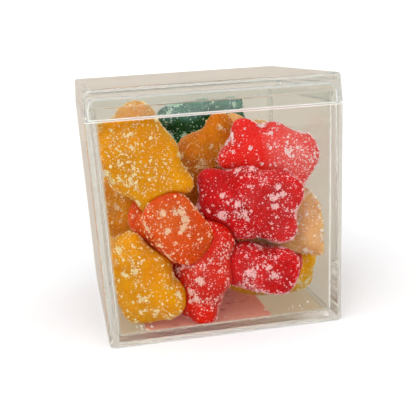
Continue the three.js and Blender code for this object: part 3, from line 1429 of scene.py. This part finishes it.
class SugarStrewer(Graph):
    """A Geometry Nodes tree that strews sugar over the faces of a mesh.

    KINDS are grains of unit size: a block, a wedge and a crystal with two points. A grain is
    SMALLEST times its stated size or up to LARGER_BY more, the more the rarer, and each of its
    sides lies within SIDES times that.
    """

    SIZE = "Grain size"
    AMOUNT = "Grains per area"
    PATCHINESS = "Patchiness"
    SEED = "Seed"
    SUGAR = "Sugar"
    KINDS = (
        ("GeometryNodeMeshCube", {"Size": (1.0, 0.8, 0.7)}),
        ("GeometryNodeMeshCylinder", {"Vertices": 3, "Radius": 0.6, "Depth": 0.8}),
        ("GeometryNodeMeshUVSphere", {"Segments": 5, "Rings": 2, "Radius": 0.62}),
    )
    SMALLEST = 0.55
    LARGER_BY = 1.1
    RARITY = 3.0
    SIDES = (0.65, 1.25)
    SEED_STEP = 10.0

    def __init__(self) -> None:
        """Builds the tree."""
        super().__init__(bpy.data.node_groups.new("strewn_sugar", "GeometryNodeTree"))
        self.socket("Geometry", "NodeSocketGeometry")
        for name in (self.SIZE, self.AMOUNT, self.PATCHINESS):
            self.socket(name, "NodeSocketFloat")
        self.socket(self.SEED, "NodeSocketInt")
        self.socket(self.SUGAR, "NodeSocketMaterial")
        self.tree.interface.new_socket("Geometry", in_out="OUTPUT", socket_type="NodeSocketGeometry")
        start = self.tree.nodes.new("NodeGroupInput")
        given = {item.name: Signal(self, item) for item in start.outputs if item.name}
        grains = self.node("GeometryNodeRealizeInstances", None, {"Geometry": self.instances(given)})
        dressing = {"Geometry": grains, "Material": given[self.SUGAR]}
        sugared = self.node("GeometryNodeSetMaterial", None, dressing)
        self.feed(self.tree.nodes.new("NodeGroupOutput").inputs[0], sugared)

    def socket(self, name: str, kind: str) -> None:
        """Adds one input to the tree."""
        self.tree.interface.new_socket(name, in_out="INPUT", socket_type=kind)

    def instances(self, given: Mapping[str, Signal]) -> Signal:
        """Strews grains as thickly as the mesh's painted sugar says.

        Args:
            given: The tree's inputs by name.

        Returns:
            The grains as instances.
        """
        painted = self.node("GeometryNodeInputNamedAttribute", {"data_type": "FLOAT"}, {"Name": "sugar"})
        thick = painted ** given[self.PATCHINESS] * given[self.AMOUNT]
        spots = {"Mesh": given["Geometry"], "Density": thick, "Seed": given[self.SEED]}
        at_random = {"distribute_method": "RANDOM"}
        inputs = {
            "Points": self.node("GeometryNodeDistributePointsOnFaces", at_random, spots),
            "Instance": self.grains(),
            "Pick Instance": True,
            "Instance Index": self.chance("INT", 0, len(self.KINDS) - 1, Draw.KIND, given),
            "Rotation": self.chance("FLOAT_VECTOR", (0.0,) * 3, (math.tau,) * 3, Draw.TURN, given),
            "Scale": self.scale(given),
        }
        return self.node("GeometryNodeInstanceOnPoints", None, inputs)

    def grains(self) -> Signal:
        """Makes one grain of each kind.

        Returns:
            The grains as instances to pick from.
        """
        made = self.tree.nodes.new("GeometryNodeGeometryToInstance")
        for kind, sizes in self.KINDS:
            self.feed(made.inputs[0], self.node(kind, None, sizes))
        return Signal(self, made.outputs[0])

    def scale(self, given: Mapping[str, Signal]) -> Signal:
        """Sizes the grains: many small ones, a few large, none with equal sides.

        Args:
            given: The tree's inputs by name.

        Returns:
            Each grain's scale.
        """
        luck = self.chance("FLOAT", 0.0, 1.0, Draw.SIZE, given)
        size = (self.SMALLEST + luck**self.RARITY * self.LARGER_BY) * given[self.SIZE]
        low, high = ((level,) * 3 for level in self.SIDES)
        sides = self.chance("FLOAT_VECTOR", low, high, Draw.SIDES, given)
        return self.node("ShaderNodeVectorMath", {"operation": "SCALE"}, {0: sides, "Scale": size})

    def chance(self, kind: str, low: Any, high: Any, draw: Draw, given: Mapping[str, Signal]) -> Signal:
        """Draws a random value for each grain.

        Args:
            kind: Blender's name of the kind of value.
            low: The lowest value.
            high: The highest value.
            draw: What the value decides.
            given: The tree's inputs by name.

        Returns:
            The value.
        """
        made = self.tree.nodes.new("FunctionNodeRandomValue")
        made.data_type = kind
        inputs = {item.name: item for item in made.inputs if item.enabled}
        inputs["Min"].default_value = low
        inputs["Max"].default_value = high
        self.feed(inputs["Seed"], given[self.SEED] + self.SEED_STEP * draw)
        return Signal(self, next(item for item in made.outputs if item.enabled))

    def strew(self, host: bpy.types.Object, grains: Grains, sugar: bpy.types.Material) -> bpy.types.Mesh:
        """Strews one size of grain over a host.

        Args:
            host: The object whose faces carry the "sugar" amounts.
            grains: The grains' size, number and seed.
            sugar: Their material.

        Returns:
            A plain mesh of the grains.
        """
        modifier = host.modifiers.new("strewn_sugar", "NODES")
        modifier.node_group = self.tree
        values = {
            self.SIZE: grains.size_mm * MM,
            self.AMOUNT: grains.per_square_mm / MM**2,
            self.PATCHINESS: grains.patchiness,
            self.SEED: grains.seed,
            self.SUGAR: sugar,
        }
        for item in self.tree.interface.items_tree:
            if item.in_out == "INPUT" and item.name in values:
                modifier[item.identifier] = values[item.name]
        seen = host.evaluated_get(bpy.context.evaluated_depsgraph_get())
        mesh = bpy.data.meshes.new_from_object(seen)
        host.modifiers.remove(modifier)
        return mesh


@dataclass(frozen=True)
class Spill:
    """Sugar spilt on the box's floor: its middle, how far it spreads and how thick it lies."""

    x: float
    y: float
    spread: float
    thickness: float


@dataclass
class SugarCoat:
    """The sugar on the bears, and what has fallen from them.

    The sizes are fine grains, coarser ones, and those that cake together in clumps.
    """

    pile: Pile
    sizes: tuple[Grains, ...] = (
        Grains(0.25, 8.0, 0.9, 11),
        Grains(0.46, 2.2, 1.5, 47),
        Grains(0.38, 36.0, 4.5, 83),
    )
    spilt_sizes: tuple[Grains, ...] = (Grains(0.4, 1.6, 1.0, 71),)
    spills: tuple[Spill, ...] = (
        Spill(-18.6, -22.6, 1.6, 1.0),
        Spill(-20.4, -23.4, 1.2, 0.5),
        Spill(17.5, -20.0, 2.0, 0.25),
    )
    floor_cells: int = 48
    floor_margin: float = 1.0
    floor_clearance: float = 0.15
    floor_dusting: float = 0.012

    def joined(self, name: str, hosts: Sequence[bpy.types.Object]) -> bpy.types.Object:
        """Joins several meshes to one that sugar can be strewn over.

        Args:
            name: The joined object's name.
            hosts: Objects whose points carry "sugar" amounts.

        Returns:
            One object with all their points, faces and amounts.
        """
        points, faces, sugar, count = [], [], [], 0
        for host in hosts:
            mesh = host.data
            at = np.empty(3 * len(mesh.vertices), np.float32)
            mesh.vertices.foreach_get("co", at)
            corners = np.empty(3 * len(mesh.polygons), np.int32)
            mesh.loops.foreach_get("vertex_index", corners)
            amount = np.empty(len(mesh.vertices), np.float32)
            mesh.attributes["sugar"].data.foreach_get("value", amount)
            points.append(at.reshape(-1, 3) / MM)
            faces.append(corners.reshape(-1, 3) + count)
            sugar.append(amount)
            count += len(mesh.vertices)
        made = new_piece(name, np.concatenate(points), np.concatenate(faces).tolist())
        paint(made.data, "sugar", np.concatenate(sugar))
        return made

    def cover(self, name: str, host: bpy.types.Object, sizes: Iterable[Grains], finish: Sugar) -> None:
        """Strews sugar over a host, keeps the grains as one piece and removes the host.

        Args:
            name: The piece's name.
            host: The object whose points carry the "sugar" amounts.
            sizes: The sizes of grain.
            finish: The sugar.
        """
        strewer = SugarStrewer()
        sugar = finish.material(name)
        grains = bmesh.new()
        for size in sizes:
            mesh = strewer.strew(host, size, sugar)
            grains.from_mesh(mesh)
            bpy.data.meshes.remove(mesh)
        mesh = bpy.data.meshes.new(name)
        grains.to_mesh(mesh)
        grains.free()
        mesh.materials.clear()
        mesh.materials.append(sugar)
        at = np.empty(3 * len(mesh.vertices))
        mesh.vertices.foreach_get("co", at)
        mesh.vertices.foreach_set("co", (self.pile.inside(at.reshape(-1, 3) / MM) * MM).ravel())
        mesh.update()
        piece = bpy.data.objects.new(name, mesh)
        bpy.context.scene.collection.objects.link(piece)
        bpy.data.objects.remove(host)
        report(piece, "sugar")

    def floor(self) -> bpy.types.Object:
        """Lays a grid just over the box's floor for the spilt sugar.

        Returns:
            The grid, whose points carry the "sugar" amounts.
        """
        floor_top = self.pile.box.floor_top
        half = self.pile.box.inner_half(floor_top) - self.floor_margin
        row = self.floor_cells + 1
        steps = np.linspace(-half, half, row)
        x, y = np.meshgrid(steps, steps, indexing="ij")
        z = np.full(x.size, floor_top + self.floor_clearance)
        points = np.stack([x.ravel(), y.ravel(), z], axis=1)
        corners = [i * row + j for i in range(self.floor_cells) for j in range(self.floor_cells)]
        faces = [(a, a + row, a + row + 1, a + 1) for a in corners]
        amount = np.full(len(points), self.floor_dusting)
        for spill in self.spills:
            away = np.hypot(points[:, 0] - spill.x, points[:, 1] - spill.y) / spill.spread
            amount = np.maximum(amount, spill.thickness * np.exp(-away * away))
        made = new_piece("spilt_host", points, faces)
        paint(made.data, "sugar", amount)
        return made

    def build(self, bears: Mapping[Flavour, Sequence[bpy.types.Object]]) -> None:
        """Sugars every flavour's bears and the floor.

        Args:
            bears: The bears of each flavour.
        """
        for flavour, pieces in bears.items():
            host = self.joined(f"host_{flavour.value}", pieces)
            self.cover(f"sugar_on_{flavour.value}", host, self.sizes, SUGARS[flavour])
        self.cover("spilt_sugar", self.floor(), self.spilt_sizes, LOOSE_SUGAR)


# ---- Studio ------------------------------------------------------------------------------


@dataclass(frozen=True)
class SoftLight:
    """One square softbox, aimed at the box."""

    name: str
    at: Triple
    side: float
    watts: float


@dataclass
class Studio:
    """A pale floor, soft light and the camera.

    The camera's place is in millimetres and the studio's own sizes are in metres.
    """

    camera_at: Triple = (-33.02, -191.38, 65.59)
    camera_forward: Triple = (0.1746, 0.9616, -0.2118)
    camera_up: Triple = (0.0973, 0.1972, 0.9755)
    focal_pixels: float = 790.1
    frame_pixels: float = 416.0
    sensor_mm: float = 36.0
    sees_from: float = 0.01
    sees_to: float = 20.0
    floor_gap: float = 0.0002
    floor_radius: float = 1.6
    floor_curve: float = 0.5
    floor_steps: int = 24
    floor_sides: int = 96
    card_front: float = -0.026
    card_back: float = 0.35
    card_side: float = 0.60
    card_height: float = 0.30
    longest_path: int = 40
    wall_reflections: int = 28
    sky_low: Triple = (0.60, 0.60, 0.60)
    sky_high: Triple = (2.10, 2.12, 2.15)
    sky_from: Triple = (-0.35, -0.90, 0.25)
    sky_fade: tuple[float, float] = (-0.2, 1.0)
    lights: tuple[SoftLight, ...] = (SoftLight("key", (-0.45, -1.00, 0.75), 0.70, 6.0),)
    lit_spot: Triple = (0.0, 0.0, 0.028)

    def camera(self) -> None:
        """Makes the camera and looks through it."""
        forward = Vector(self.camera_forward).normalized()
        right = forward.cross(Vector(self.camera_up)).normalized()
        up = right.cross(forward)
        data = bpy.data.cameras.new("camera")
        data.sensor_width = self.sensor_mm
        data.lens = self.sensor_mm * self.focal_pixels / self.frame_pixels
        data.clip_start = self.sees_from
        data.clip_end = self.sees_to
        camera = bpy.data.objects.new("camera", data)
        turned = Matrix((right, up, -forward)).transposed().to_4x4()
        camera.matrix_world = Matrix.Translation(Vector(self.camera_at) * MM) @ turned
        bpy.context.scene.collection.objects.link(camera)
        bpy.context.scene.camera = camera

    def floor(self) -> None:
        """Makes a round floor whose rim curves up all round."""
        low = -self.floor_gap
        profile = [(0.0, low), (self.floor_radius - self.floor_curve, low)]
        for step in range(1, self.floor_steps + 1):
            angle = step / self.floor_steps * math.pi / 2
            out = self.floor_radius - self.floor_curve + self.floor_curve * math.sin(angle)
            profile.append((out, low + self.floor_curve * (1 - math.cos(angle))))
        sides = self.floor_sides
        points, faces = [(0.0, 0.0, low)], []
        for radius, z in profile[1:]:
            for i in range(sides):
                angle = i / sides * math.tau
                points.append((radius * math.cos(angle), radius * math.sin(angle), z))
        for i in range(sides):
            j = (i + 1) % sides
            faces.append((0, 1 + i, 1 + j))
            for k in range(len(profile) - 2):
                a = 1 + k * sides
                faces.append((a + i, a + sides + i, a + sides + j, a + j))
        floor = new_piece("studio_floor", np.array(points) / MM, faces)
        floor.data.shade_smooth()
        floor.data.materials.append(FloorPaint().material("studio_floor"))
        floor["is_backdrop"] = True

    def lamps(self) -> None:
        """Hangs the softboxes and aims them at the box."""
        for box in self.lights:
            data = bpy.data.lights.new(box.name, "AREA")
            data.energy = box.watts
            data.size = box.side
            lamp = bpy.data.objects.new(box.name, data)
            lamp.location = box.at
            aim = Vector(self.lit_spot) - Vector(box.at)
            lamp.rotation_euler = aim.to_track_quat("-Z", "Y").to_euler()
            bpy.context.scene.collection.objects.link(lamp)

    def sky(self) -> None:
        """Sets a soft sky, brighter in front than behind."""
        front = Vector(self.sky_from).normalized()
        world = bpy.data.worlds.new("studio")
        world.use_nodes = True
        graph = Graph(world.node_tree)
        sides = {0: graph.node("ShaderNodeTexCoord", output="Generated"), 1: tuple(front)}
        facing = graph.node("ShaderNodeVectorMath", {"operation": "DOT_PRODUCT"}, sides, "Value")
        bright = facing.between(*self.sky_fade)
        colour = graph.blend(bright, opaque(self.sky_low), opaque(self.sky_high))
        graph.feed(world.node_tree.nodes["Background"].inputs["Color"], colour)
        bpy.context.scene.world = world
        bpy.context.scene.view_settings.view_transform = "Standard"

    def card(self) -> None:
        """Lays warm grey card under and behind the box, bent up; only the plastic shows it."""
        low = -self.floor_gap / 2
        rows = ((self.card_front, low), (self.card_back, low), (self.card_back, self.card_height))
        points = [(x, y, z) for y, z in rows for x in (-self.card_side, self.card_side)]
        card = new_piece("studio_card", np.array(points) / MM, [(0, 1, 3, 2), (2, 3, 5, 4)])
        card.visible_camera = card.visible_diffuse = card.visible_shadow = False
        card.data.materials.append(GreyCard().material("studio_card"))
        card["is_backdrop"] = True

    def light_paths(self) -> None:
        """Lets light run on inside the clear walls until it finds its way out."""
        paths = bpy.context.scene.cycles
        paths.max_bounces = self.longest_path
        paths.transmission_bounces = self.longest_path
        paths.glossy_bounces = self.wall_reflections
        paths.transparent_max_bounces = self.wall_reflections

    def build(self) -> None:
        """Sets the whole studio up."""
        self.camera()
        self.floor()
        self.lamps()
        self.sky()
        self.card()
        self.light_paths()


def write_sizes() -> None:
    """Works out the frame's box and the dressed box's lowest and highest corners in metres."""
    boxes = {"cad": CAD_BOX, "visual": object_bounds()}
    plain = {name: [[float(value) for value in corner] for corner in box] for name, box in boxes.items()}


def main() -> None:
    """Builds the studio, the box, the bears and their sugar."""
    logging.basicConfig(level=logging.INFO, format="%(name)s %(message)s")
    Studio().build()
    box = FavourBox()
    box.build()
    pile = Pile(box)
    SugarCoat(pile).build(pile.build())
    write_sizes()


if __name__ == "__main__":
    main()
